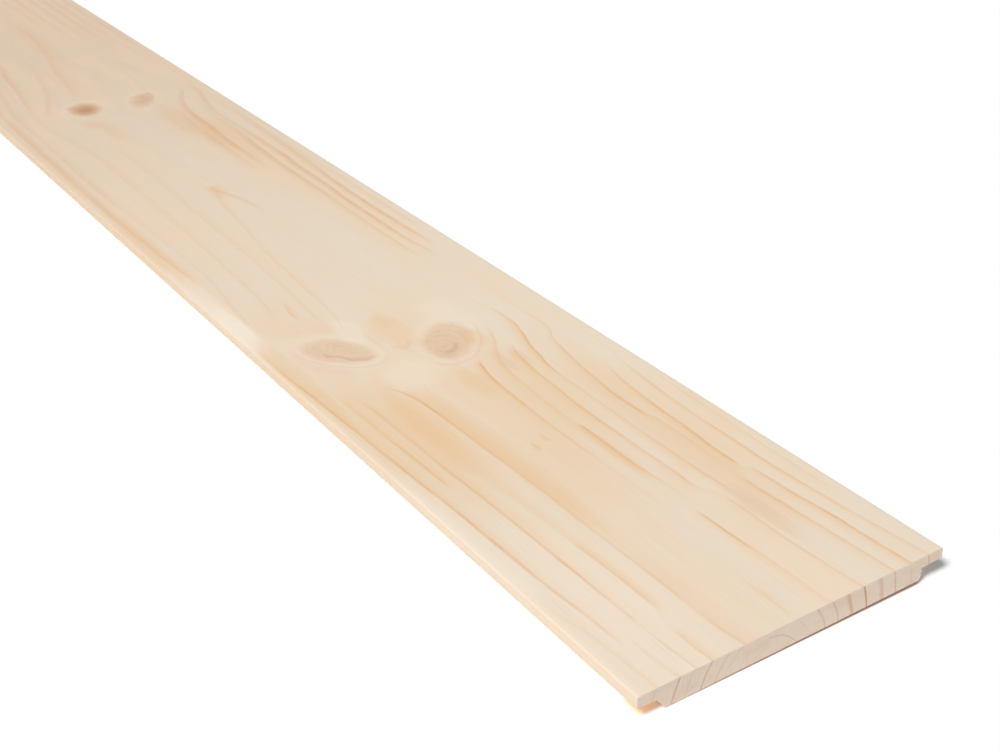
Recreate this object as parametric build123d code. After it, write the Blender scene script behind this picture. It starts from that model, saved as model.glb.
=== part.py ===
from build123d import *
from math import radians, tan
import os

# One shiplap cladding board: a single piece of planed softwood.
# The board lies face up. X runs along its length, Y across its width and Z up through its thickness.
# The origin is the middle of the flat back, which rests on the floor or on the wall battens.
# Both long edges are rebated from the back, so each edge keeps a lip that is flush with the face.
# The -Y edge has a sloping shoulder with a full round at its foot. The +Y edge has a square shoulder.

# Overall size, in millimetres
board_length = 1800.0
board_width = 195.0
board_thickness = 14.0

# The lap: a lip lies under or over the lip of the next board, which is turned back to front.
# Both lips thicken towards their root by the same slope in degrees, so their lap faces lie parallel,
# and the clearance between them is room for the wood to swell.
lap_slope = 3.0
lap_clearance = 1.0

# The -Y edge, whose shoulder slopes by this angle in degrees from the back
slant_lip_width = 11.0
slant_lip_tip_thickness = 6.4
slant_shoulder_angle = 52.0

# The +Y edge
square_lip_width = 15.0

# Rounds left by the moulding cutters
face_arris_radius = 1.0
lip_arris_radius = 0.5
root_radius = 0.5
slant_foot_radius = 3.0
square_foot_radius = 1.0

# The two lips of a lap and their clearance fill one board's thickness
slant_lip_root_thickness = slant_lip_tip_thickness + slant_lip_width * tan(radians(lap_slope))
square_lip_tip_thickness = board_thickness - slant_lip_root_thickness - lap_clearance
square_lip_root_thickness = square_lip_tip_thickness + square_lip_width * tan(radians(lap_slope))


def slant_edge_corners():
    """The -Y edge from the face down to the back: each corner's place and its round."""
    edge_y = -board_width / 2
    root_y = edge_y + slant_lip_width
    root_z = board_thickness - slant_lip_root_thickness
    foot_y = root_y + root_z / tan(radians(slant_shoulder_angle))
    return [
        (Vector(edge_y, board_thickness), face_arris_radius),
        (Vector(edge_y, board_thickness - slant_lip_tip_thickness), lip_arris_radius),
        (Vector(root_y, root_z), root_radius),
        (Vector(foot_y, 0), slant_foot_radius),
    ]


def square_edge_corners():
    """The +Y edge from the back up to the face: each corner's place and its round."""
    edge_y = board_width / 2
    root_y = edge_y - square_lip_width
    return [
        (Vector(root_y, 0), square_foot_radius),
        (Vector(root_y, board_thickness - square_lip_root_thickness), root_radius),
        (Vector(edge_y, board_thickness - square_lip_tip_thickness), lip_arris_radius),
        (Vector(edge_y, board_thickness), face_arris_radius),
    ]


def board_section():
    """The moulded cross section, drawn with Y to the right and Z up."""
    corners = slant_edge_corners() + square_edge_corners()
    outline = Polyline(*[place for place, radius in corners], close=True)
    section = make_face(outline)
    for place, radius in corners:
        corner = section.vertices().sort_by_distance(place)[0]
        section = fillet(corner, radius)
    return section


def cladding_board():
    """The section run along the board's whole length, with both ends cut square."""
    far_end = Plane.YZ.offset(-board_length / 2)
    return extrude(far_end * board_section(), board_length)


os.makedirs("parts", exist_ok=True)
export_step(cladding_board(), "parts/board.step")
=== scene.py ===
import math
import random

import bmesh
import bpy
from mathutils import Matrix, Vector


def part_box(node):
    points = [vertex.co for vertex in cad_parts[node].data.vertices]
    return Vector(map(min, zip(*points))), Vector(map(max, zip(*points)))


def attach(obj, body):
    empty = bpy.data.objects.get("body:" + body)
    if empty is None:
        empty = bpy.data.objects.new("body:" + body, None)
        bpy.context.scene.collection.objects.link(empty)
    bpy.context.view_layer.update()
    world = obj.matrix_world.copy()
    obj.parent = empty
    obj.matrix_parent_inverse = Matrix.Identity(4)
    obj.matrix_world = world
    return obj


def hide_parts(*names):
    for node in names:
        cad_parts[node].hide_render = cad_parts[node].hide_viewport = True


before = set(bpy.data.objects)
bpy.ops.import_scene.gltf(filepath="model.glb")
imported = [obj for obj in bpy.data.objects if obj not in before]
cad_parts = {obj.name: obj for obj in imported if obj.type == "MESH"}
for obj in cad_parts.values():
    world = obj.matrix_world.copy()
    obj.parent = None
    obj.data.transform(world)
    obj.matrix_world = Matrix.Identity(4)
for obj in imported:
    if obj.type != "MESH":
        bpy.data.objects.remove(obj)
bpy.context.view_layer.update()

MM = 0.001
board_low, board_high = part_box("board")
board_length = board_high.x - board_low.x
board_width = board_high.y - board_low.y
board_thickness = board_high.z - board_low.z
near_end_x = board_high.x

# The moulded section, in millimetres and degrees, as the board was cut
LAP_SLOPE = math.radians(3.0)
LAP_CLEARANCE = 1.0
SLANT_LIP_WIDTH = 11.0
SLANT_LIP_TIP_THICKNESS = 6.4
SLANT_SHOULDER_ANGLE = math.radians(52.0)
SQUARE_LIP_WIDTH = 15.0
FACE_ARRIS_RADIUS = 1.0
LIP_ARRIS_RADIUS = 0.5
ROOT_RADIUS = 0.5
SLANT_FOOT_RADIUS = 3.0
SQUARE_FOOT_RADIUS = 1.0

# The log that the board was sawn from. Down is the distance in millimetres from the near end, which
# runs up the tree. Side and up are millimetres from the board's middle and from its back.
# The pith lies under the back. Each point of the board is traced round its annual ring to the face,
# where the grain lines below are drawn, so a line runs on over the ends, the edges and the back.
PITH_UP = -10.0
PITH_SIDE = [(0, -19.5), (100, -23), (200, -25), (290, -24), (360, -18), (450, -10), (560, -5),
             (650, -4), (780, -9), (870, -13), (960, -6), (1120, 8), (1300, 2), (1420, -6), (1600, -16),
             (1800, -8)]

# The planed faces have a material for each of these stretches (down), each with the lines, marks and
# knots that come within a margin of it. The board's mesh has STATIONS even divisions along its length,
# and each stretch ends at a division.
STATIONS = 150
STRETCHES = [(0, 396), (396, 1164), (1164, 1800)]
STRETCH_MARGIN = 8

# The grain lines on the face. Each runs along a path (down, side). Line is how strongly the fine
# latewood line shows at a distance down, band how strongly the soft wood beside it is tinted, and wide
# is that band's width. The lines left of the pith have their sharp edge on the left.
LINES_RIGHT = [
    dict(path=[(60, 92), (90, 90), (140, 91), (230, 93)],
         line=[(60, 0), (90, 0.25), (180, 0.25), (230, 0)], band=[(60, 0), (140, 0.2), (230, 0)], wide=4),
    dict(path=[(0, 87), (30, 85), (60, 82), (90, 80.5), (150, 80), (180, 81), (210, 82.5), (240, 85),
               (285, 90)],
         line=[(0, 0.3), (60, 0.5), (110, 0.7), (150, 0.6), (170, 0.35), (200, 0.6), (215, 0.5),
               (250, 0.15), (300, 0.05), (330, 0)],
         band=[(0, 0.2), (110, 0.35), (210, 0.2), (290, 0)], wide=4),
    dict(path=[(0, 75), (30, 73.5), (60, 72), (80, 70), (106, 69), (112, 65), (130, 65), (150, 66.5),
               (190, 68), (215, 70), (245, 75), (265, 79)],
         line=[(0, 0.9), (50, 1), (95, 0.8), (104, 0.5), (107, 0), (111, 0), (118, 0.8), (135, 1), (170, 1),
               (200, 0.8), (230, 0.5), (262, 0)],
         band=[(0, 0.5), (50, 0.6), (108, 0.4), (130, 0.6), (200, 0.45), (260, 0)], wide=5),
    dict(path=[(0, 63), (40, 61), (70, 59.5), (106, 58), (150, 59.5), (176, 59.5), (184, 57), (200, 56.5),
               (230, 58.5), (250, 61), (270, 64), (290, 68), (318, 75), (350, 74), (400, 66)],
         line=[(0, 0.45), (60, 0.5), (85, 0.8), (100, 0.7), (112, 0.15), (150, 0.3), (176, 0.3), (184, 0.4),
               (198, 1), (215, 0.9), (240, 0.5), (265, 0.65), (285, 0.35), (320, 0.3), (370, 0)],
         band=[(0, 0.25), (90, 0.4), (115, 0.1), (200, 0.5), (300, 0.2), (360, 0)], wide=5),
    dict(path=[(0, 44), (35, 43.5), (97, 45), (130, 43.5), (180, 43.5), (240, 43.5), (262, 45), (275, 48),
               (290, 51), (310, 57), (330, 60), (345, 59.5), (365, 56)],
         line=[(0, 0.15), (90, 0.1), (110, 0.6), (150, 0.5), (190, 0.35), (245, 0.45), (262, 0.8), (285, 1),
               (310, 0.85), (335, 0.6), (350, 0.25), (370, 0)],
         band=[(0, 0), (100, 0.1), (130, 0.3), (240, 0.25), (285, 0.75), (320, 0.5), (350, 0)], wide=6),
    dict(path=[(0, 41), (30, 39.5), (60, 38.5), (96, 38.5), (108, 33), (120, 31.5), (160, 31.5), (200, 31),
               (240, 33), (265, 35), (285, 38), (300, 43)],
         line=[(0, 0.4), (50, 0.45), (90, 0.5), (97, 0), (108, 0), (120, 0.65), (150, 0.5), (200, 0.75),
               (250, 0.55), (270, 0.6), (292, 0.4), (300, 0)],
         band=[(0, 0.15), (90, 0.2), (120, 0.3), (200, 0.4), (250, 0.5), (280, 0.8), (298, 0)], wide=6),
    dict(path=[(0, 20), (50, 19), (60, 18), (92, 17.5), (115, 20), (140, 19), (192, 18.5), (200, 17),
               (230, 18), (260, 20), (280, 23), (292, 28), (300, 32), (315, 39), (326, 42)],
         line=[(0, 0.2), (45, 0.15), (56, 0.8), (65, 0.95), (85, 0.9), (95, 0.1), (120, 0.2), (145, 0.5),
               (160, 0.75), (188, 0.8), (198, 0.2), (240, 0.25), (270, 0.3), (290, 0.35), (318, 0.25),
               (328, 0)],
         band=[(0, 0.1), (58, 0.3), (90, 0.3), (96, 0), (130, 0.3), (160, 0.8), (190, 0.8), (200, 0.3),
               (250, 0.4), (285, 0.5), (320, 0.3), (330, 0)], wide=5),
    dict(path=[(0, 11), (50, 11.5), (80, 5), (100, 7), (150, 6), (200, 5), (240, 6), (265, 7.5), (280, 10),
               (294, 14), (310, 20)],
         line=[(0, 0.15), (50, 0.15), (60, 0), (80, 0.05), (150, 0.2), (190, 0.35), (220, 0.55), (250, 0.85),
               (280, 1), (290, 0.6), (296, 0)],
         band=[(0, 0), (100, 0), (200, 0.3), (250, 0.6), (282, 0.9), (295, 0)], wide=5),
    dict(path=[(480, 92), (520, 90), (600, 90), (700, 88), (820, 88), (1000, 92), (1300, 90), (1420, 95),
               (1600, 88), (1800, 87)],
         line=[(480, 0), (520, 0.3), (600, 0.2), (700, 0.2), (900, 0), (1100, 0.3), (1300, 0.4), (1500, 0.2),
               (1800, 0.5)], band=[(480, 0), (600, 0.2), (1800, 0.2)], wide=5),
    dict(path=[(430, 82), (470, 82), (500, 81), (540, 80.5), (600, 81.5), (640, 84), (680, 85), (750, 87),
               (860, 92), (1000, 84), (1200, 79), (1350, 83), (1420, 90), (1520, 80), (1800, 74)],
         line=[(440, 0), (460, 0.3), (480, 0.7), (500, 0.9), (530, 1), (600, 0.9), (625, 0.6), (660, 0.4),
               (700, 0.5), (760, 0.3), (850, 0), (1050, 0.1), (1200, 0.6), (1350, 0.4), (1480, 0.2),
               (1650, 0.8), (1800, 0.7)],
         band=[(440, 0), (500, 0.5), (620, 0.5), (700, 0.2), (860, 0), (1200, 0.3), (1800, 0.4)], wide=6),
    dict(path=[(430, 74), (450, 73), (480, 71), (520, 71), (560, 71), (600, 73), (640, 73), (680, 75),
               (740, 74), (790, 73), (820, 76), (850, 81), (880, 85), (940, 80), (1150, 70), (1350, 73),
               (1410, 80), (1500, 70), (1650, 64), (1800, 63)],
         line=[(430, 0), (450, 0.5), (480, 0.7), (520, 0.9), (560, 1), (620, 0.9), (670, 1), (690, 0.6),
               (740, 0.5), (800, 0.35), (850, 0.6), (880, 0.3), (930, 0), (1150, 0.5), (1300, 0.8),
               (1420, 0.3), (1600, 0.5), (1800, 0.4)],
         band=[(430, 0), (480, 0.4), (560, 0.6), (680, 0.6), (760, 0.3), (860, 0.3), (930, 0), (1300, 0.5),
               (1800, 0.3)], wide=6),
    dict(path=[(440, 64), (480, 62), (540, 62), (600, 63.5), (640, 63.5), (700, 65), (740, 67), (780, 67),
               (830, 72), (900, 76), (1100, 58), (1350, 61), (1400, 68), (1480, 60), (1650, 52), (1800, 50)],
         line=[(440, 0), (480, 0.45), (540, 0.4), (580, 0.6), (620, 0.8), (660, 0.6), (690, 0.8), (710, 1),
               (725, 0.6), (760, 0.4), (790, 0.3), (850, 0.1), (900, 0), (1150, 0.3), (1350, 0.7),
               (1420, 0.5), (1550, 0.8), (1800, 0.8)],
         band=[(440, 0), (480, 0.3), (600, 0.4), (700, 0.6), (780, 0.3), (850, 0), (1300, 0.3), (1800, 0.5)],
         wide=6),
    dict(path=[(640, 51), (700, 51), (740, 51.5), (770, 53), (800, 54), (830, 57), (850, 62), (865, 68),
               (890, 74), (1100, 46), (1340, 46), (1390, 54), (1450, 48), (1650, 38), (1800, 37)],
         line=[(640, 0), (680, 0.35), (705, 0.6), (722, 1), (740, 0.8), (760, 1), (780, 1), (800, 0.9),
               (830, 0.7), (860, 0.6), (880, 0.25), (900, 0), (1200, 0.4), (1390, 0.8), (1430, 0.3),
               (1700, 0.5), (1800, 0.6)],
         band=[(640, 0), (700, 0.3), (740, 0.6), (780, 0.9), (830, 0.5), (870, 0.2), (900, 0), (1390, 0.6),
               (1500, 0.2), (1800, 0.3)], wide=7),
    dict(path=[(650, 43), (700, 42), (760, 43), (800, 45), (850, 48), (1300, 34), (1450, 36), (1800, 24)],
         line=[(650, 0), (690, 0.25), (740, 0.4), (780, 0.4), (830, 0.2), (860, 0), (1250, 0.3), (1360, 0.5),
               (1420, 0), (1500, 0.5), (1800, 0.4)],
         band=[(650, 0), (740, 0.5), (800, 0.4), (850, 0), (1360, 0.4), (1420, 0), (1600, 0.4), (1800, 0.3)],
         wide=8),
    dict(path=[(380, 10), (420, 8), (450, 10), (560, 9), (590, 8), (610, 4), (628, -1), (640, -5)],
         line=[(380, 0), (450, 0.1), (500, 0), (570, 0.1), (600, 0.45), (630, 0.4), (641, 0)],
         band=[(560, 0), (600, 0.2), (632, 0.4), (642, 0)], wide=5),
]
LINES_LEFT = [
    dict(path=[(0, -35), (25, -37), (50, -37), (100, -38), (150, -38.5), (200, -40), (230, -41),
               (260, -42), (280, -45), (290, -49), (305, -55)],
         line=[(0, 0.5), (25, 0.45), (35, 0.2), (50, 0.5), (80, 0.45), (110, 0.35), (150, 0.4), (200, 0.55),
               (240, 0.75), (260, 1), (280, 0.85), (292, 0.4), (300, 0)],
         band=[(0, 0.3), (30, 0.15), (60, 0.3), (90, 0.2), (115, 0.35), (150, 0.6), (200, 0.8), (255, 0.9),
               (280, 0.5), (295, 0)], wide=11),
    dict(path=[(0, -54), (22, -55), (40, -53), (45, -51.5), (100, -52.5), (150, -54), (200, -57),
               (390, -50), (412, -54), (425, -51)],
         line=[(0, 0.3), (20, 0.3), (30, 0.05), (50, 0.2), (60, 0.3), (95, 0.3), (110, 0.05), (200, 0),
               (400, 0), (410, 0.5), (420, 0.4), (430, 0)],
         band=[(0, 0.5), (20, 0.5), (32, 0.1), (45, 0.4), (60, 0.6), (95, 0.6), (115, 0.3), (150, 0.3),
               (200, 0), (400, 0), (415, 0.4), (430, 0)], wide=5),
    dict(path=[(0, -64), (25, -65.5), (45, -66), (100, -67), (150, -68), (200, -69.5), (240, -70),
               (270, -70.5), (290, -73), (310, -78)],
         line=[(0, 0.4), (20, 0.4), (32, 0.15), (45, 0.45), (75, 0.6), (95, 0.9), (115, 0.6), (150, 0.6),
               (185, 0.85), (210, 0.55), (240, 0.5), (270, 0.5), (290, 0.1), (310, 0)],
         band=[(0, 0.2), (30, 0.1), (60, 0.2), (110, 0.35), (150, 0.45), (200, 0.5), (270, 0.4), (300, 0)],
         wide=6),
    dict(path=[(0, -74), (28, -76), (180, -77), (215, -78), (235, -79), (285, -80), (330, -84)],
         line=[(0, 0.3), (28, 0.2), (40, 0), (178, 0), (192, 0.6), (230, 0.7), (245, 0.3), (285, 0.3),
               (310, 0)],
         band=[(0, 0.1), (40, 0), (175, 0), (200, 0.4), (285, 0.3), (310, 0)], wide=4),
    dict(path=[(30, -81), (60, -82.5), (100, -84.5), (130, -85.5), (150, -86), (180, -87.5), (220, -89.5),
               (260, -90.5), (300, -92), (360, -94.5)],
         line=[(30, 0), (45, 0.45), (60, 0.6), (100, 0.7), (130, 1), (150, 1), (175, 0.7), (205, 0.9),
               (240, 0.7), (300, 0.9), (330, 0.7), (360, 0.4), (380, 0)],
         band=[(30, 0), (60, 0.2), (130, 0.4), (200, 0.55), (300, 0.5), (360, 0.3), (380, 0)], wide=5),
    dict(path=[(0, -87), (40, -88.5), (80, -93)], line=[(0, 0.25), (70, 0.15), (85, 0)],
         band=[(0, 0.1), (85, 0)], wide=3),
    dict(path=[(370, -38), (380, -35), (400, -31), (450, -28), (500, -25), (540, -20), (580, -15),
               (610, -12), (640, -6)],
         line=[(370, 0), (385, 0.3), (430, 0.3), (450, 0.2), (480, 0.2), (505, 0.25), (520, 0.15),
               (560, 0.2), (610, 0.25), (635, 0.3), (644, 0)],
         band=[(380, 0), (450, 0.15), (560, 0.15), (610, 0.3), (632, 0.5), (644, 0)], wide=5),
    dict(path=[(380, -44), (430, -41), (500, -38), (600, -36), (700, -34), (800, -36)],
         line=[(380, 0), (430, 0.25), (500, 0.15), (600, 0.2), (700, 0.1), (800, 0)],
         band=[(380, 0), (500, 0.15), (700, 0.15), (800, 0)], wide=8),
    dict(path=[(410, -66), (430, -63), (470, -60), (520, -58), (600, -57), (700, -55), (800, -60),
               (860, -66), (1000, -52), (1300, -60), (1430, -72), (1550, -62), (1800, -60)],
         line=[(410, 0), (430, 0.3), (500, 0.2), (600, 0.15), (700, 0.2), (800, 0.2), (900, 0.1),
               (1200, 0.4), (1400, 0.6), (1480, 0.3), (1800, 0.6)],
         band=[(410, 0), (500, 0.15), (800, 0.15), (1200, 0.3), (1400, 0.5), (1800, 0.3)], wide=8),
    dict(path=[(410, -84), (440, -82), (470, -78), (520, -76), (600, -78), (700, -81), (780, -80),
               (870, -80), (1000, -70), (1300, -76), (1430, -86), (1600, -76), (1800, -74)],
         line=[(410, 0), (440, 0.3), (470, 0.3), (530, 0.15), (620, 0.1), (680, 0.4), (760, 0.3), (850, 0.2),
               (1000, 0.4), (1300, 0.7), (1500, 0.3), (1800, 0.5)],
         band=[(410, 0), (700, 0.2), (850, 0.3), (1300, 0.5), (1800, 0.3)], wide=6),
    dict(path=[(490, -86), (520, -88), (560, -89), (600, -90.5), (650, -91), (700, -91), (760, -90.5),
               (830, -90), (880, -89), (1000, -84), (1300, -89), (1430, -95), (1600, -90), (1800, -88)],
         line=[(485, 0), (500, 0.2), (530, 0.4), (620, 0.5), (660, 0.6), (700, 0.3), (740, 0.5),
               (800, 0.5), (850, 0.4), (900, 0.3), (1000, 0.3), (1300, 0.5), (1600, 0.4), (1800, 0.3)],
         band=[(485, 0), (520, 0.5), (620, 0.5), (800, 0.6), (900, 0.4), (1800, 0.3)], wide=6),
    dict(path=[(880, -26), (900, -22), (940, -12), (980, -8), (1010, -4), (1040, 4), (1080, 8), (1120, 12),
               (1200, 10), (1350, -2), (1450, -20), (1600, -30), (1800, -28)],
         line=[(890, 0), (930, 0.25), (1000, 0.35), (1050, 0.3), (1110, 0.5), (1160, 0.2), (1300, 0),
               (1500, 0.4), (1800, 0.5)],
         band=[(890, 0), (930, 0.3), (1000, 0.5), (1050, 0.7), (1110, 0.8), (1180, 0.4), (1300, 0),
               (1500, 0.4), (1800, 0.3)], wide=10),
    dict(path=[(870, -58), (900, -46), (940, -34), (980, -27), (1040, -21), (1200, -24), (1400, -36),
               (1600, -46), (1800, -44)],
         line=[(870, 0), (900, 0.4), (940, 0.35), (1000, 0.2), (1100, 0.1), (1250, 0.4), (1380, 0.5),
               (1410, 0), (1480, 0.3), (1800, 0.4)],
         band=[(870, 0), (920, 0.2), (1300, 0.3), (1380, 0.5), (1410, 0), (1600, 0.3), (1800, 0.3)], wide=7),
    dict(path=[(880, -66), (950, -56), (1000, -51), (1040, -46), (1200, -42)],
         line=[(880, 0), (930, 0.3), (1000, 0.5), (1060, 0.4), (1150, 0)],
         band=[(880, 0), (1000, 0.4), (1150, 0)], wide=6),
]

# The rings on the cut ends: radius from the pith, how strong, and how wide, on each side of the pith
END_RINGS_RIGHT = [(20.5, 0.35, 0.8), (29, 0.1, 0.8), (38.5, 0.35, 1.2), (47, 0.35, 1.2), (56, 0.5, 2.2),
                   (65.8, 1.0, 1.1), (76.5, 0.4, 2.6), (85.8, 0.5, 1.1), (97, 0.12, 1.3), (109.5, 0.5, 1.1)]
END_RINGS_LEFT = [(20.5, 0.06, 0.8), (28.6, 0.2, 0.8), (34.1, 0.35, 0.8), (42.3, 0.6, 0.9),
                  (51.5, 0.2, 0.9), (58.9, 0.75, 0.9), (71.6, 0.3, 0.9)]

# Soft marks on the face: middle (down, side), half size along and across, strength
# The pale marks along the left edge, at side -91 to -100, are painted highlight where the lamp from the left
# lights the edge and its side; the others are pale wood
PALE_AND_HIGHLIGHT_MARKS = [
    (408, -91, 34, 6, 0.6), (352, 28, 26, 14, 0.25), (372, -34, 18, 7, 0.35), (300, -28, 16, 18, 0.3),
    (140, -93, 60, 7, 0.35), (150, -100, 260, 8, 0.25), (60, -30, 60, 20, 0.1), (35, -70, 90, 26, 0.55),
    (440, -92, 75, 7, 0.6), (5, 25, 60, 20, 0.2),
]
TAN_MARKS = [
    (240, -72, 70, 22, 0.45), (232, -52, 62, 10, 0.45), (190, -33, 72, 8, 0.35), (330, -90, 55, 7, 0.5),
    (215, -8, 85, 14, 0.22), (245, 24, 65, 16, 0.35), (270, -3, 22, 7, 0.4), (192, -15, 5, 1.3, 0.7),
    (195, -6, 4, 1.8, 0.45), (160, 18, 26, 4, 0.4), (20, -2.5, 16, 1.4, 0.35), (352, -11, 24, 12, 0.32),
    (372, -9, 9, 8, 0.25), (320, 27, 12, 7, 0.6), (600, 66, 160, 22, 0.16), (632, -5, 14, 7, 0.35),
    (780, 46, 60, 14, 0.3), (735, 52, 60, 10, 0.35), (160, 57, 90, 14, 0.3), (260, 57, 50, 16, 0.15),
    (805, -21, 24, 6, 0.4), (829, -30, 12, 8, 0.4), (560, -90, 75, 6, 0.4), (760, -92, 120, 7, 0.2),
    (400, -58, 40, 18, 0.14), (1080, 10, 90, 12, 0.3), (930, -5, 50, 12, 0.15),
    (1300, -30, 60, 14, 0.3), (1560, 20, 80, 12, 0.3), (1500, -84, 120, 9, 0.3),
]
BROWN_MARKS = [
    (309, 1, 9, 6, 0.4), (333, -14, 3, 9, 0.25), (344, -28, 16, 2, 0.2),
    (75, 45.5, 26, 5.5, 0.3), (283, 37, 14, 4, 0.3), (283, 26, 14, 4, 0.25), (803, 35, 38, 9, 0.35),
    (750, 46, 34, 6, 0.25), (1355, 40, 26, 7, 0.35),
]
PINK_MARKS = [
    (352, -72, 22, 7, 0.7), (335, -62, 18, 8, 0.4), (885, 2, 22, 7, 0.35), (872, -40, 16, 5, 0.35),
    (305, 14, 9, 12, 0.3), (385, -55, 14, 14, 0.35), (150, 52, 90, 10, 0.3), (200, 10, 80, 20, 0.2),
    (1428, -62, 18, 8, 0.3),
]

# Each knot is a cone from the pith that leans up the tree by lean on its way to the face, where it
# is an oval: its middle (down, side), half sizes, and its turn in degrees. Heart is the knot's own
# pith, crescent the direction of its dark arc, depth that arc's distance from the heart, and soft the
# width of the knot's blurred edge, all in parts of the oval's half sizes. Tint, halo, rings, dark and
# edge say how strongly each part shows.
KNOTS = [
    dict(down=325, side=12, half=(25, 16), turn=30, lean=14, soft=0.18, tint=0.75, halo=0.3, rings=0.11,
         dark=0.08, heart=(-0.3, -0.12), crescent=(-0.65, 0.76), depth=0.42, edge=0.36),
    dict(down=350, side=-53, half=(25, 14), turn=-36, lean=28, soft=0.24, tint=0.8, halo=0.45, rings=0.12,
         dark=0.04, heart=(-0.15, 0.25), crescent=(-0.45, -0.9), depth=0.78, edge=0.34),
    dict(down=873, side=-21, half=(18, 14), turn=10, lean=16, soft=0.36, tint=1.0, halo=0.2, rings=0.1,
         dark=0.72, heart=(-0.1, 0.0), crescent=(-1.0, 0.3), depth=0.7, edge=0.2),
    dict(down=868, side=31, half=(22, 11), turn=26, lean=22, soft=0.4, tint=0.8, halo=0.15, rings=0.05,
         dark=0.34, heart=(0.2, 0.1), crescent=(0.6, 0.8), depth=0.7, edge=0.2),
    dict(down=1402, side=22, half=(21, 14), turn=22, lean=18, soft=0.22, tint=0.8, halo=0.25, rings=0.11,
         dark=0.2, heart=(-0.2, 0.1), crescent=(-0.8, 0.6), depth=0.6, edge=0.35),
    dict(down=1428, side=-48, half=(23, 12), turn=-32, lean=24, soft=0.24, tint=0.8, halo=0.28, rings=0.12,
         dark=0.08, heart=(-0.2, 0.0), crescent=(-0.3, -1.0), depth=0.8, edge=0.34),
]

# The wood's colours, as they show on a screen
EARLYWOOD = (237, 221, 198)
# Painted shade: the face is darker and greyer toward the far end, where the light falls off
EARLYWOOD_PAINTED_FAR_SHADE = (219, 198, 174)
EARLYWOOD_WARM = (240, 212, 181)
EARLYWOOD_COOL = (233, 220, 201)
EARLYWOOD_STREAK = (246, 232, 212)
PALE = (247, 234, 215)
TAN = (236, 198, 153)
TAN_FAR = (224, 190, 156)
BROWN = (222, 186, 150)
PINK = (236, 207, 185)
LINE_NEAR = (222, 172, 110)
LINE_FAR = (208, 160, 122)
KNOT_BODY = (231, 198, 166)
KNOT_DARK = (176, 122, 86)
KNOT_EDGE = (198, 150, 102)
KNOT_RING = (210, 170, 134)
KNOT_HALO = (243, 226, 206)
END_GRAIN = (245, 226, 208)
END_BAND = (238, 211, 186)
END_LINE = (196, 146, 104)
END_SAW_MARK = (234, 213, 195)
END_PORE = (224, 201, 182)
END_WORN = (252, 240, 222)
TORN_FIBRE = (255, 251, 243)
# The moulded left edge's tone is partly the machined wood's own darker colour and partly painted shade that
# holds down the lamp's highlight on that arris and side
MOULDED_TONE_AND_SHADE = (212, 187, 160)

# The floor's colour, and light and shade painted on it from the wood: a painted warm glow of bounced light
# under the left lip, and a painted warm-brown contact shadow in the gap under the near end
FLOOR = (251, 251, 251)
LIP_SHADE = (242, 200, 164)
END_SHADE = (196, 152, 122)

# How far the floor is below the middle of the back, in metres, its tilt in radians, and how far it
# reaches, in metres. The real board is slightly cupped, so it stands off the floor on its right.
FLOOR_GAP = 0.0014
FLOOR_TILT = 0.0125
FLOOR_REACH = 12.0

# How strongly the floor glows to the camera, and the painted glow of warm bounced light under the left lip
FLOOR_GLOW = 0.09
LIP_GLOW = 0.3

# The light: one soft lamp, given by the direction it stands in, its width in degrees and its strength,
# and the strength of the even surround
LAMP_TOWARDS = Vector((0.23, -0.75, 1.0))
LAMP_WIDTH = 16
LAMP_STRENGTH = 3.0
SURROUND = 0.21

# Across a grain line, in millimetres from its path: where it starts to show on its soft side, where it
# is strongest, and where it ends on its sharp side. Towards the far end the lines are softer, and
# SHARP_FAR is how sharp they are there against the near end's.
LINE_FADE = -2.2
LINE_CREST = -0.2
LINE_END = 0.9
SHARP_FAR = 0.36

# How closely the rings in a knot follow each other, as an angle of the ring pattern for a half size
KNOT_RING_RATE = 24.0

# The torn fibres at the near end: how many, and how far one is above the next, in millimetres
FIBRE_COUNT = 13
FIBRE_SPACING = 0.48
LOWEST_FIBRE = 0.5


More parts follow.
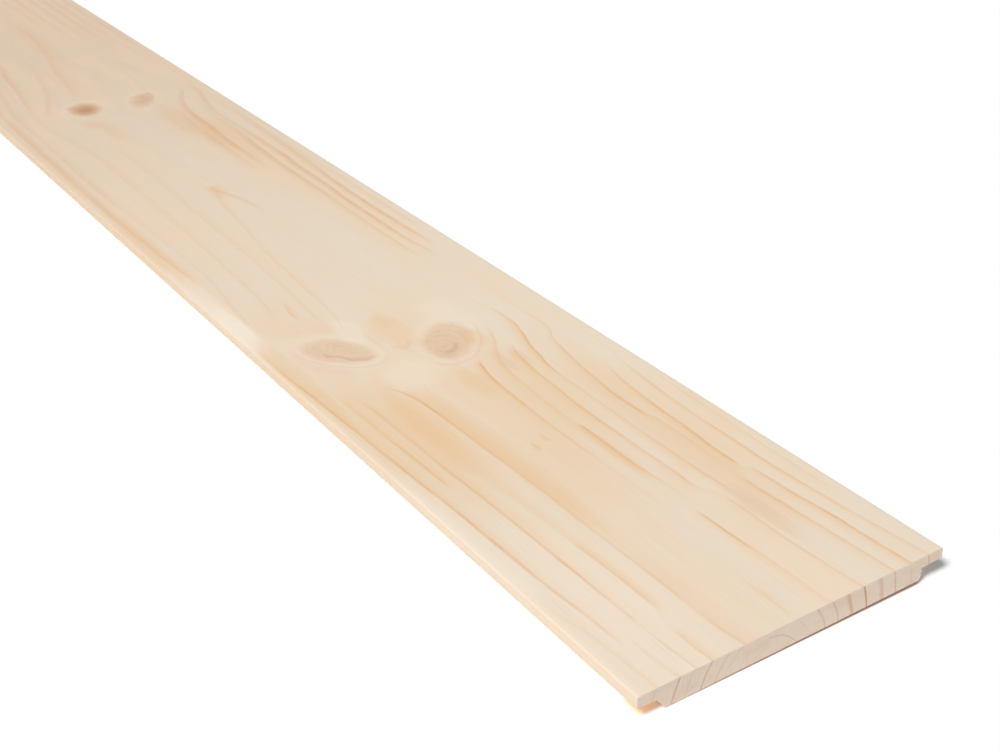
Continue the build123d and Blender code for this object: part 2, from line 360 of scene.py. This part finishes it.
class Field:
    """A number that changes over a surface. Arithmetic on it adds Math nodes to its material."""

    def __init__(self, tree, socket):
        self.tree = tree
        self.socket = socket

    def math(self, operation, *others):
        node = self.tree.nodes.new("ShaderNodeMath")
        node.operation = operation
        for place, value in enumerate((self, *others)):
            plug(self.tree, value, node.inputs[place])
        return Field(self.tree, node.outputs[0])

    def __add__(self, other):
        return self.math("ADD", other)

    def __sub__(self, other):
        return self.math("SUBTRACT", other)

    def __mul__(self, other):
        return self.math("MULTIPLY", other)

    def __truediv__(self, other):
        return self.math("DIVIDE", other)

    def squared(self):
        return self.math("MULTIPLY", self)

    def root(self):
        return self.at_least(0.0).math("SQRT")

    def at_least(self, low):
        return self.math("MAXIMUM", low)

    def at_most(self, high):
        return self.math("MINIMUM", high)

    def scaled(self, middle, size):
        """How far the number is from a middle, in sizes."""
        return self.math("MULTIPLY_ADD", 1.0 / size, -middle / size)

    def rise(self, low, high):
        """0 below low and 1 above high, with a smooth step between. With low above high it falls."""
        node = self.tree.nodes.new("ShaderNodeMapRange")
        node.interpolation_type = "SMOOTHSTEP"
        node.clamp = False
        plug(self.tree, self, node.inputs["Value"])
        node.inputs["From Min"].default_value = low
        node.inputs["From Max"].default_value = high
        return Field(self.tree, node.outputs["Result"])

    def part_of(self, span):
        """0 at the start of a span and 1 at its end."""
        return self.scaled(span[0], span[1] - span[0])

    def curve(self, points, span):
        """The height of a curve drawn through the points, level beyond the span that it covers.
        This number is the part of the span."""
        heights = [y for x, y in points]
        low, size = min(heights), (max(heights) - min(heights)) or 1.0
        drawn_points = [((x - span[0]) / (span[1] - span[0]), (y - low) / size) for x, y in points]
        if drawn_points[0][0] > 0:
            drawn_points.insert(0, (0.0, drawn_points[0][1]))
        if drawn_points[-1][0] < 1:
            drawn_points.append((1.0, drawn_points[-1][1]))
        node = self.tree.nodes.new("ShaderNodeFloatCurve")
        node.mapping.extend = "HORIZONTAL"
        drawn = node.mapping.curves[0]
        while len(drawn.points) < len(drawn_points):
            drawn.points.new(0.5, 0.5)
        for point, place in zip(drawn.points, drawn_points):
            point.location = place
            point.handle_type = "AUTO_CLAMPED"
        node.mapping.update()
        plug(self.tree, self, node.inputs["Value"])
        height = Field(self.tree, node.outputs["Value"])
        if (low, size) == (0, 1):
            return height
        return height.math("MULTIPLY_ADD", size, low)


def plug(tree, value, socket):
    """Links a field or an output to a socket, or writes a plain value into it."""
    if isinstance(value, Field):
        tree.links.new(value.socket, socket)
    elif isinstance(value, bpy.types.NodeSocket):
        tree.links.new(value, socket)
    else:
        socket.default_value = value


def colour(shown):
    """A colour given as it shows on a screen, from 0 to 255, turned into Blender's linear values."""
    channels = []
    for channel in shown:
        part = channel / 255
        channels.append(part / 12.92 if part <= 0.04045 else ((part + 0.055) / 1.055) ** 2.4)
    return (*channels, 1.0)


def noise(tree, x, y, z, detail=2.0, roughness=0.5):
    """Smooth noise from 0 to 1, about 0.5 on average, at a place given by three numbers."""
    place = tree.nodes.new("ShaderNodeCombineXYZ")
    for value, socket in zip((x, y, z), place.inputs):
        plug(tree, value, socket)
    node = tree.nodes.new("ShaderNodeTexNoise")
    node.inputs["Scale"].default_value = 1.0
    node.inputs["Detail"].default_value = detail
    node.inputs["Roughness"].default_value = roughness
    tree.links.new(place.outputs[0], node.inputs["Vector"])
    return Field(tree, node.outputs["Fac"])


def blend(tree, factor, first, second):
    """A mix of two colours, each given as it shows on a screen or taken from another mix."""
    node = tree.nodes.new("ShaderNodeMix")
    node.data_type = "RGBA"
    plug(tree, factor, node.inputs[0])
    plug(tree, colour(first) if isinstance(first, tuple) else first, node.inputs[6])
    plug(tree, colour(second) if isinstance(second, tuple) else second, node.inputs[7])
    return node.outputs[2]


def object_place(tree):
    """A surface point's place on its object, along each axis, in metres."""
    where = tree.nodes.new("ShaderNodeTexCoord")
    split = tree.nodes.new("ShaderNodeSeparateXYZ")
    tree.links.new(where.outputs["Object"], split.inputs[0])
    return [Field(tree, output) for output in split.outputs]


def total(fields):
    """The sum of some fields, held at 1."""
    result = fields[0]
    for field in fields[1:]:
        result = result + field
    return result.at_most(1.0)


def place_fields(tree):
    """Where a surface point lies in the board, in millimetres, and where its ring meets the face.
    Two noises move these a little, so that no line drawn by them is quite even."""
    x, y, z = object_place(tree)
    down = x.math("MULTIPLY_ADD", -1 / MM, near_end_x / MM)
    side = y * (1 / MM)
    up = z * (1 / MM)
    pith_span = (PITH_SIDE[0][0], PITH_SIDE[-1][0])
    pith = down.part_of(pith_span).curve(PITH_SIDE, pith_span)
    across = side - pith
    height = up - PITH_UP
    face_height = board_thickness / MM - PITH_UP
    square = across.squared() + height.squared()
    outward = across.math("SIGN")
    at_face = pith + outward * (square - face_height ** 2).root()
    wander = noise(tree, down * (1 / 45), side * (1 / 16), up * (1 / 20), detail=2.0) - 0.5
    jitter = noise(tree, down * (1 / 5), side * (1 / 3), up * (1 / 3), detail=1.0) - 0.5
    return dict(tree=tree, down=down + wander * 5.0, side=side, up=up, across=across,
                radius=square.root(), at_face=at_face + wander * 2.0 + jitter * 0.5)


def reach(track):
    """The distances down the board between which a track is drawn."""
    downs = [point[0] for row in ("path", "line", "band") for point in track[row]]
    return min(downs), max(downs)


def in_stretch(low, high, stretch):
    """Whether something between two distances down shows on a stretch of the board."""
    return low < stretch[1] + STRETCH_MARGIN and high > stretch[0] - STRETCH_MARGIN


def grain(place, stretch):
    """How strongly the latewood lines and the tinted bands beside them show."""
    tree, down, at_face = place["tree"], place["down"], place["at_face"]
    sharp = down.rise(750, 220) * (1 - SHARP_FAR) + SHARP_FAR
    line = down * 0.0
    band = down * 0.0
    for leftward, tracks in ((False, LINES_RIGHT), (True, LINES_LEFT)):
        for track in tracks:
            span = reach(track)
            if not in_stretch(*span, stretch):
                continue
            part = down.part_of(span)
            path = part.curve(track["path"], span)
            off = path - at_face if leftward else at_face - path
            fine = off * sharp
            outer = fine.rise(LINE_END, 0.0)
            inner = off.rise(-track["wide"] * 1.5, LINE_CREST)
            line = fine.rise(LINE_FADE, LINE_CREST) * outer * part.curve(track["line"], span) + line
            band = inner * outer * part.curve(track["band"], span) + band
    vary = noise(tree, down * (1 / 14), at_face * (1 / 4), 5.0, detail=2.0).rise(0.2, 0.65)
    return line.at_most(1.0) * (vary * 0.5 + 0.5), band.at_most(1.0)


def marks(place, listed, stretch):
    """The soft marks of one kind, drawn on the face and fading out below it."""
    tree, down, side = place["tree"], place["down"], place["side"]
    shift = noise(tree, down * (1 / 16), side * (1 / 6), 2.0, detail=2.0) - 0.5
    down = down + shift * 14.0
    side = side + shift * 5.0
    depth = down * 0.0
    for middle, across_middle, along, across, strength in listed:
        if in_stretch(middle - 1.5 * along, middle + 1.5 * along, stretch):
            square = down.scaled(middle, along).squared() + side.scaled(across_middle, across).squared()
            depth = square.rise(2.0, 0.0) * strength + depth
    return depth.at_most(1.0) * place["up"].rise(4.0, 12.0)


def knot_fields(place, knot):
    """A knot's own coordinates, in parts of its half sizes at this depth."""
    down, side, up = place["down"], place["side"], place["up"]
    turn = math.radians(knot["turn"])
    pith_side = pith_at(knot["down"])
    face_height = board_thickness / MM - PITH_UP
    part = (up - PITH_UP) * (1 / face_height)
    off_down = down - part.math("MULTIPLY_ADD", knot["lean"], knot["down"] - knot["lean"])
    off_side = side - part.math("MULTIPLY_ADD", knot["side"] - pith_side, pith_side)
    size = part.at_least(0.15)
    along = (off_down * math.cos(turn) + off_side * math.sin(turn)) / (size * knot["half"][0])
    across = (off_side * math.cos(turn) - off_down * math.sin(turn)) / (size * knot["half"][1])
    return along, across


def pith_at(down):
    """The pith's place across the board at a distance down it."""
    for (x0, y0), (x1, y1) in zip(PITH_SIDE, PITH_SIDE[1:]):
        if x0 <= down <= x1:
            return y0 + (y1 - y0) * (down - x0) / (x1 - x0)


def knotted(place, shade, stretch):
    """The colour with the knots drawn into it. Each has a ringed body round its heart, with a dark
    arc on one side, pale wood round it, and one faint loop of a ring beyond that."""
    tree = place["tree"]
    down, side, up = place["down"], place["side"], place["up"]
    ragged = noise(tree, down * (1 / 9), side * (1 / 9), up * (1 / 9)) - 0.5
    fine = noise(tree, down * (1 / 2.2), side * (1 / 2.2), up * (1 / 2.2), detail=2.0)
    warped = dict(place, down=down + ragged * 5.0, side=side - ragged * 4.0, up=up + ragged)
    for knot in KNOTS:
        if not in_stretch(knot["down"] - 60, knot["down"] + 50, stretch):
            continue
        along, across = knot_fields(warped, knot)
        off = (along.squared() + across.squared()).root() + ragged * 0.15
        heart_along, heart_across = knot["heart"]
        inner = ((along - heart_along).squared() + (across - heart_across).squared()).root() + ragged * 0.5
        edge_along, edge_across = knot["crescent"]
        facing = (along * edge_along + across * edge_across) / off.at_least(0.2)
        inward = ((along - heart_along) * edge_along + (across - heart_across) * edge_across)
        inward = inward / inner.at_least(0.15)
        soft = knot["soft"]
        depth = knot["depth"]
        body = off.rise(1.0 + soft, 1.0 - soft * 1.6)
        halo = off.rise(1.7, 1.15) * off.rise(0.9, 1.15)
        loop = off.rise(1.42, 1.3) * off.rise(1.18, 1.3) * facing.rise(-0.2, 0.5)
        rings = (inner * KNOT_RING_RATE).math("SINE").rise(0.0, 1.0) * body
        crescent = inner.rise(depth - 0.2, depth) * inner.rise(depth + 0.14, depth + 0.02)
        shade = blend(tree, halo * knot["halo"], shade, KNOT_HALO)
        shade = blend(tree, loop * 0.15, shade, KNOT_RING)
        shade = blend(tree, body * (fine * 0.6 + 0.5) * knot["tint"], shade, KNOT_BODY)
        shade = blend(tree, rings * knot["rings"], shade, KNOT_RING)
        shade = blend(tree, crescent * inward.rise(0.2, 0.95) * knot["edge"], shade, KNOT_EDGE)
        shade = blend(tree, body * (inner.rise(1.2, 0.1) * 0.6 + 0.4) * knot["dark"], shade, KNOT_DARK)
    return shade


def wood_colour(place, stretch):
    """The colour of planed wood along the grain, with painted shade toward the far end and painted light and
    shade along the left edge.
    """
    tree, down, side, up = place["tree"], place["down"], place["side"], place["up"]
    at_face = place["at_face"]
    line, band = grain(place, stretch)
    # Each noise is stretched along the grain: the divisors are about its patches' sizes in millimetres
    cloud = noise(tree, down * (1 / 110), at_face * (1 / 24), up * (1 / 30), detail=3.0)
    streak = noise(tree, down * (1 / 48), at_face * (1 / 1.1), up * (1 / 1.6), detail=3.0, roughness=0.65)
    fleck = noise(tree, down * (1 / 7), at_face * (1 / 0.6), up * (1 / 0.8), detail=2.0, roughness=0.6)
    # Painted shade: the face darkens toward the far end, where the light falls off
    shade = blend(tree, down.rise(250, 1150), EARLYWOOD, EARLYWOOD_PAINTED_FAR_SHADE)
    uneven = down.rise(1000, 400)
    shade = blend(tree, cloud.rise(0.4, 0.72) * (uneven * 0.3 + 0.25), shade, EARLYWOOD_WARM)
    shade = blend(tree, cloud.rise(0.5, 0.25) * (uneven * 0.3 + 0.1), shade, EARLYWOOD_COOL)
    # Pale wood, and painted highlight along the left edge
    shade = blend(tree, marks(place, PALE_AND_HIGHLIGHT_MARKS, stretch), shade, PALE)
    shade = blend(tree, marks(place, PINK_MARKS, stretch), shade, PINK)
    tan = blend(tree, down.rise(450, 900), TAN, TAN_FAR)
    shade = blend(tree, marks(place, TAN_MARKS, stretch), shade, tan)
    shade = blend(tree, marks(place, BROWN_MARKS, stretch), shade, BROWN)
    shade = blend(tree, band * 0.8, shade, tan)
    shade = blend(tree, streak.rise(0.55, 0.8) * 0.3, shade, tan)
    shade = blend(tree, streak.rise(0.45, 0.2) * 0.35, shade, EARLYWOOD_STREAK)
    shade = blend(tree, fleck.rise(0.6, 0.85) * 0.12, shade, BROWN)
    line_shade = blend(tree, down.rise(350, 700), LINE_NEAR, LINE_FAR)
    shade = blend(tree, line * (down.rise(700, 300) * 0.14 + 0.42), shade, line_shade)
    shade = knotted(place, shade, stretch)
    # Darker along the left arris and side: partly the machined edge's own tone, partly painted shade against
    # the lamp's highlight there
    left = board_low.y / MM
    moulded = side.rise(left + 1.1, left + 0.2) * (down.rise(0, 450) * 0.2 + 0.4)
    return blend(tree, moulded, shade, MOULDED_TONE_AND_SHADE), line, streak


def new_material(name):
    """A new node material, its tree and its shader."""
    material = bpy.data.materials.new(name)
    material.use_nodes = True
    return material, material.node_tree, material.node_tree.nodes["Principled BSDF"]


def bump(tree, height, distance):
    """The surface normal, bent by a height from 0 to 1 that stands for a distance in metres."""
    node = tree.nodes.new("ShaderNodeBump")
    node.inputs["Strength"].default_value = 1.0
    node.inputs["Distance"].default_value = distance
    plug(tree, height, node.inputs["Height"])
    return node.outputs["Normal"]


def planed_pine(name, stretch):
    """The planed faces and moulded edges, on one stretch of the board's length."""
    material, tree, shader = new_material(name)
    place = place_fields(tree)
    shade, line, streak = wood_colour(place, stretch)
    plug(tree, shade, shader.inputs["Base Color"])
    plug(tree, line.math("MULTIPLY_ADD", -0.12, 0.62), shader.inputs["Roughness"])
    shader.inputs["Specular IOR Level"].default_value = 0.2
    plug(tree, bump(tree, streak, 0.00006), shader.inputs["Normal"])
    return material


def sawn_end():
    """The cut ends, where the rings are seen end on."""
    material, tree, shader = new_material("sawn_end_grain")
    place = place_fields(tree)
    side, up, across = place["side"], place["up"], place["across"]
    uneven = noise(tree, side * (1 / 9), up * (1 / 5), 4.0, detail=2.0)
    radius = place["radius"] + (uneven - 0.5) * 1.2
    rings = []
    for outward, listed in ((across.rise(-1, 1), END_RINGS_RIGHT), (across.rise(1, -1), END_RINGS_LEFT)):
        drawn = []
        for ring, strength, width in listed:
            drawn.append(radius.rise(ring - width, ring) * radius.rise(ring + width * 0.8, ring) * strength)
        rings.append(total(drawn) * outward)
    line = total(rings)
    saw = noise(tree, side * (1 / 0.7), up * (1 / 9), 3.7, detail=3.0)
    pores = noise(tree, side * (1 / 0.3), up * (1 / 0.3), 9.1, detail=2.0)
    blotch = noise(tree, side * (1 / 14), up * (1 / 7), 6.3, detail=2.0)
    worn = up.rise(board_thickness / MM - 1.2, board_thickness / MM - 0.1)
    shade = blend(tree, blotch.rise(0.4, 0.7) * 0.5, END_GRAIN, END_BAND)
    shade = blend(tree, saw.rise(0.45, 0.75) * 0.3, shade, END_SAW_MARK)
    shade = blend(tree, pores.rise(0.45, 0.75) * 0.3, shade, END_PORE)
    shade = blend(tree, line * uneven.rise(0.15, 0.5) * 0.85, shade, END_LINE)
    shade = blend(tree, worn * saw.rise(0.4, 0.65) * 0.6, shade, END_WORN)
    plug(tree, shade, shader.inputs["Base Color"])
    shader.inputs["Roughness"].default_value = 0.8
    shader.inputs["Specular IOR Level"].default_value = 0.15
    plug(tree, bump(tree, saw * 0.7 + pores * 0.5, 0.00018), shader.inputs["Normal"])
    return material


def section_corners():
    """The section's corners with their rounds, in millimetres, from the left arris round the back."""
    width, thickness = board_width / MM, board_thickness / MM
    slant_root = SLANT_LIP_TIP_THICKNESS + SLANT_LIP_WIDTH * math.tan(LAP_SLOPE)
    square_tip = thickness - slant_root - LAP_CLEARANCE
    square_root = square_tip + SQUARE_LIP_WIDTH * math.tan(LAP_SLOPE)
    root_side = SLANT_LIP_WIDTH - width / 2
    foot_side = root_side + (thickness - slant_root) / math.tan(SLANT_SHOULDER_ANGLE)
    return [
        (Vector((-width / 2, thickness)), FACE_ARRIS_RADIUS),
        (Vector((-width / 2, thickness - SLANT_LIP_TIP_THICKNESS)), LIP_ARRIS_RADIUS),
        (Vector((root_side, thickness - slant_root)), ROOT_RADIUS),
        (Vector((foot_side, 0)), SLANT_FOOT_RADIUS),
        (Vector((width / 2 - SQUARE_LIP_WIDTH, 0)), SQUARE_FOOT_RADIUS),
        (Vector((width / 2 - SQUARE_LIP_WIDTH, thickness - square_root)), ROOT_RADIUS),
        (Vector((width / 2, thickness - square_tip)), LIP_ARRIS_RADIUS),
        (Vector((width / 2, thickness)), FACE_ARRIS_RADIUS),
    ]


def rounded(before, corner, after, radius, steps=6):
    """The points of the arc that rounds one corner of an outline."""
    back = (before - corner).normalized()
    ahead = (after - corner).normalized()
    half = back.angle(ahead) / 2
    middle = corner + (back + ahead).normalized() * (radius / math.sin(half))
    first = corner + back * (radius / math.tan(half)) - middle
    last = corner + ahead * (radius / math.tan(half)) - middle
    sweep = first.angle_signed(last)
    points = []
    for step in range(steps + 1):
        turn = -sweep * step / steps
        turned = Vector((first.x * math.cos(turn) - first.y * math.sin(turn),
                         first.x * math.sin(turn) + first.y * math.cos(turn)))
        points.append(middle + turned)
    return points


def section_outline(spacing=3.0):
    """The whole outline with its arcs, and the straight runs divided evenly."""
    corners = section_corners()
    arcs = []
    for index, (corner, radius) in enumerate(corners):
        before = corners[index - 1][0]
        after = corners[(index + 1) % len(corners)][0]
        arcs.append(rounded(before, corner, after, radius))
    points = []
    for index, arc in enumerate(arcs):
        points.extend(arc)
        start, end = arc[-1], arcs[(index + 1) % len(arcs)][0]
        parts = max(1, round((end - start).length / spacing))
        points.extend(start.lerp(end, n / parts) for n in range(1, parts))
    return points


def join_rows(mesh, row, following):
    """The faces between one closed row of points and the next."""
    count = len(row)
    pairs = [(n, (n + 1) % count) for n in range(count)]
    return [mesh.faces.new((row[n], row[m], following[m], following[n])) for n, m in pairs]


def make_piece(name, mesh, materials):
    """A finished mesh as an object of the scene."""
    bmesh.ops.recalc_face_normals(mesh, faces=mesh.faces)
    data = bpy.data.meshes.new(name)
    mesh.to_mesh(data)
    mesh.free()
    for material in materials:
        data.materials.append(material)
    piece = bpy.data.objects.new(name, data)
    bpy.context.scene.collection.objects.link(piece)
    return piece


def make_board():
    """The board's own mesh: the outline run along the length, with closed ends."""
    outline = section_outline()
    # The rows stand close together near both ends, so that the shading stays crisp there
    close_rows = [0.0, 0.3 * MM, 1.5 * MM]
    stations = close_rows + [board_length * n / STATIONS for n in range(1, STATIONS)]
    stations += [board_length - x for x in reversed(close_rows)]
    mesh = bmesh.new()
    rows = []
    for x in stations:
        rows.append([mesh.verts.new((board_low.x + x, point.x * MM, point.y * MM)) for point in outline])
    for row, following in zip(rows, rows[1:]):
        middle_down = (near_end_x - (row[0].co.x + following[0].co.x) / 2) / MM
        stretch = next(n for n, (low, high) in enumerate(STRETCHES) if low < middle_down < high)
        for face in join_rows(mesh, row, following):
            face.material_index = stretch
            face.smooth = True
    for row in (rows[0], rows[-1]):
        face = mesh.faces.new(row)
        face.material_index = len(STRETCHES)
        for edge in face.edges:
            edge.smooth = False
    materials = [planed_pine(f"planed_pine_{n + 1}", stretch) for n, stretch in enumerate(STRETCHES)]
    board = make_piece("planed_board", mesh, materials + [sawn_end()])
    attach(board, "root")
    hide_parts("board")


def torn_fibres():
    """Pale slivers of wood that the saw tore out beside the square shoulder, at the near end."""
    chance = random.Random(8)
    shoulder = board_width / 2 / MM - SQUARE_LIP_WIDTH
    mesh = bmesh.new()
    for number in range(FIBRE_COUNT):
        height = LOWEST_FIBRE + number * FIBRE_SPACING
        length = chance.uniform(0.5, 1.8)
        start = -chance.uniform(0.0, 0.25)
        wide = chance.uniform(0.8, 2.6)
        thick = chance.uniform(0.35, 0.8)
        bend = chance.uniform(-0.5, 0.6)
        rows = []
        for part in (0.0, 0.35, 0.7, 1.0):
            side = shoulder - 0.3 + (length + 0.3) * part
            up = height + bend * part * part
            half = thick * (1 - part * 0.8) / 2
            back = start - wide * (1 - part * 0.75)
            rows.append([mesh.verts.new((near_end_x + x * MM, side * MM, max(up + z, 0.1) * MM))
                         for x, z in ((start, -half), (start, half), (back, half), (back, -half))])
        for row, following in zip(rows, rows[1:]):
            join_rows(mesh, row, following)
        mesh.faces.new(rows[0])
        mesh.faces.new(rows[-1])
    material, tree, shader = new_material("torn_fibre")
    x, y, z = (place * (1 / MM) for place in object_place(tree))
    fibre = noise(tree, x * (1 / 1.5), y * (1 / 0.2), z * (1 / 0.2), detail=2.0)
    plug(tree, blend(tree, fibre.rise(0.45, 0.75) * 0.2, TORN_FIBRE, TAN), shader.inputs["Base Color"])
    shader.inputs["Roughness"].default_value = 0.8
    fibres = make_piece("torn_fibres", mesh, [material])
    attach(fibres, "root")


def make_floor():
    """A plain white floor that shows the board's shadow and otherwise blends into the background. It carries
    a painted warm glow under the left lip and a painted dark contact shadow under the near end.
    """
    data = bpy.data.meshes.new("floor")
    corners = [(x * FLOOR_REACH, y * FLOOR_REACH, 0) for x, y in ((-1, -1), (1, -1), (1, 1), (-1, 1))]
    data.from_pydata(corners, [], [(0, 1, 2, 3)])
    floor = bpy.data.objects.new("floor", data)
    floor.location.z = -FLOOR_GAP
    floor.rotation_euler.x = -FLOOR_TILT
    bpy.context.scene.collection.objects.link(floor)
    material, tree, shader = new_material("floor_white")
    x, y, z = object_place(tree)
    # Millimetres past the near end, and across from the board's middle
    beyond = x.math("MULTIPLY_ADD", 1 / MM, -near_end_x / MM)
    side = y * (1 / MM)
    edge = -board_width / 2 / MM
    # Painted light: a warm glow of light bounced from the wood onto the floor under the left lip, in the
    # floor's colour and in its glow to the camera
    painted_lip_glow = side.rise(edge + 1, edge + 6) * beyond.rise(0, -5) * beyond.rise(-18, -12)
    painted_lip_glow = painted_lip_glow * side.rise(edge + 22, edge + 18)
    # Painted shadow: a warm-brown contact shadow on the floor in the gap under the near end
    painted_end_shadow = side.rise(edge + 14, edge + 60) * side.rise(-edge - 12, -edge - 16)
    painted_end_shadow = painted_end_shadow * beyond.rise(0.3, -0.4) * beyond.rise(-9, -6)
    shade = blend(tree, painted_lip_glow, FLOOR, LIP_SHADE)
    plug(tree, blend(tree, painted_end_shadow * 0.8, shade, END_SHADE), shader.inputs["Base Color"])
    shader.inputs["Roughness"].default_value = 0.9
    shader.inputs["Specular IOR Level"].default_value = 0.1
    path = tree.nodes.new("ShaderNodeLightPath")
    seen = Field(tree, path.outputs["Is Camera Ray"])
    # The painted glow under the left lip
    plug(tree, blend(tree, painted_lip_glow, FLOOR, LIP_SHADE), shader.inputs["Emission Color"])
    plug(tree, seen * (painted_lip_glow * LIP_GLOW + FLOOR_GLOW), shader.inputs["Emission Strength"])
    data.materials.append(material)


def light_scene():
    """One soft light from above and from the left, in an even pale surround."""
    light = bpy.data.lights.new("key", "SUN")
    light.energy = LAMP_STRENGTH
    light.angle = math.radians(LAMP_WIDTH)
    lamp = bpy.data.objects.new("key", light)
    lamp.rotation_euler = (-LAMP_TOWARDS).to_track_quat("-Z", "Y").to_euler()
    bpy.context.scene.collection.objects.link(lamp)
    world = bpy.data.worlds.new("studio")
    bpy.context.scene.world = world
    world.use_nodes = True
    tree = world.node_tree
    background = tree.nodes["Background"]
    path = tree.nodes.new("ShaderNodeLightPath")
    seen = Field(tree, path.outputs["Is Camera Ray"])
    for ray in ("Is Glossy Ray", "Is Transmission Ray"):
        seen = seen.math("MAXIMUM", Field(tree, path.outputs[ray]))
    background.inputs["Color"].default_value = (1, 1, 1, 1)
    plug(tree, seen * (1 - SURROUND) + SURROUND, background.inputs["Strength"])


# The camera that took the photograph: its place is in millimetres from the middle of the near end's
# top edge
FOCAL_PIXELS = 1467.1
IMAGE_WIDTH = 1000
SENSOR_WIDTH = 36.0
CAMERA_FROM_NEAR_EDGE = Vector((367.48, -419.63, 433.60))
CAMERA_AZIMUTH = math.radians(55.771)
CAMERA_ELEVATION = math.radians(29.3885)


def place_camera():
    """The camera at the place and with the lens that the photograph was taken with."""
    data = bpy.data.cameras.new("camera")
    data.sensor_width = SENSOR_WIDTH
    data.lens = FOCAL_PIXELS / IMAGE_WIDTH * SENSOR_WIDTH
    camera = bpy.data.objects.new("camera", data)
    backward = Vector((math.sin(CAMERA_AZIMUTH) * math.cos(CAMERA_ELEVATION),
                       -math.cos(CAMERA_AZIMUTH) * math.cos(CAMERA_ELEVATION),
                       math.sin(CAMERA_ELEVATION)))
    right = Vector((math.cos(CAMERA_AZIMUTH), math.sin(CAMERA_AZIMUTH), 0))
    upward = backward.cross(right)
    place = CAMERA_FROM_NEAR_EDGE * MM + Vector((near_end_x, 0, board_high.z))
    turn = Matrix((right, upward, backward)).transposed().to_4x4()
    camera.matrix_world = Matrix.Translation(place) @ turn
    bpy.context.scene.collection.objects.link(camera)
    bpy.context.scene.camera = camera


place_camera()
make_board()
torn_fibres()
make_floor()
light_scene()
bpy.context.scene.view_settings.view_transform = "Standard"
